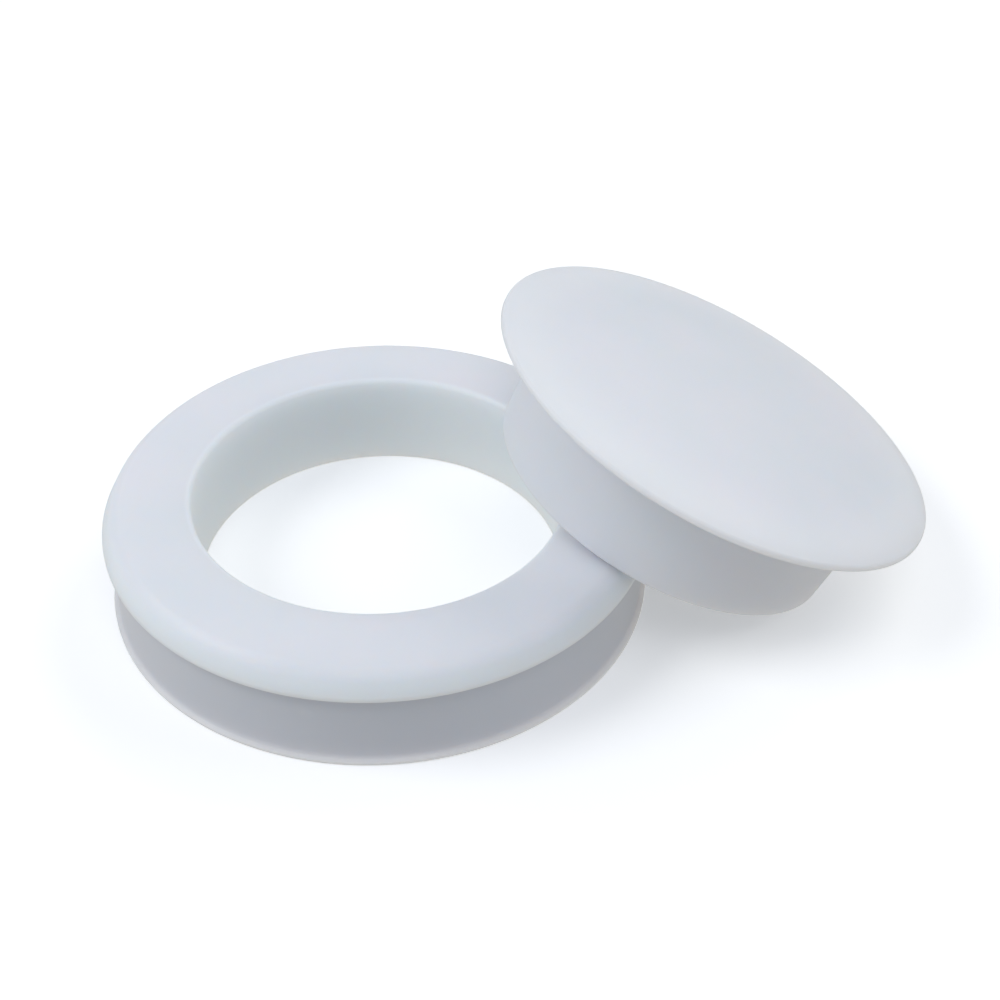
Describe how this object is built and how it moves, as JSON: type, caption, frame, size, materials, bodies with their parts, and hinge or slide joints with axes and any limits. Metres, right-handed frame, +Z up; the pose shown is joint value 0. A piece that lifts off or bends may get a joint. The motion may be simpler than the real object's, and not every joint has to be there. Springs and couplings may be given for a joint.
{
  "type": "desk grommet",
  "caption": "Soft silicone hole ring with a crowned flange and a waist that grips the panel, and a domed plug cap that leans on it and lifts off.",
  "frame": {"origin": "middle of the pair's footprint on the surface it lies on", "axes": "+X from the ring to the cap, +Z up along the ring's axis"},
  "size_m": [0.1156, 0.0762, 0.0378],
  "materials": {
    "ring_silicone": "translucent milky silicone, satin moulded surface",
    "cap_silicone": "translucent milky silicone, satin moulded surface"
  },
  "bodies": {
    "ring": {"ring": "ring_silicone"},
    "cap": {"cap": "cap_silicone"}
  },
  "joints": [
    {"name": "cap_lift", "type": "slide", "parent": "ring", "child": "cap", "axis": [0, 0, 1], "range_m": [0, 0.06]}
  ]
}
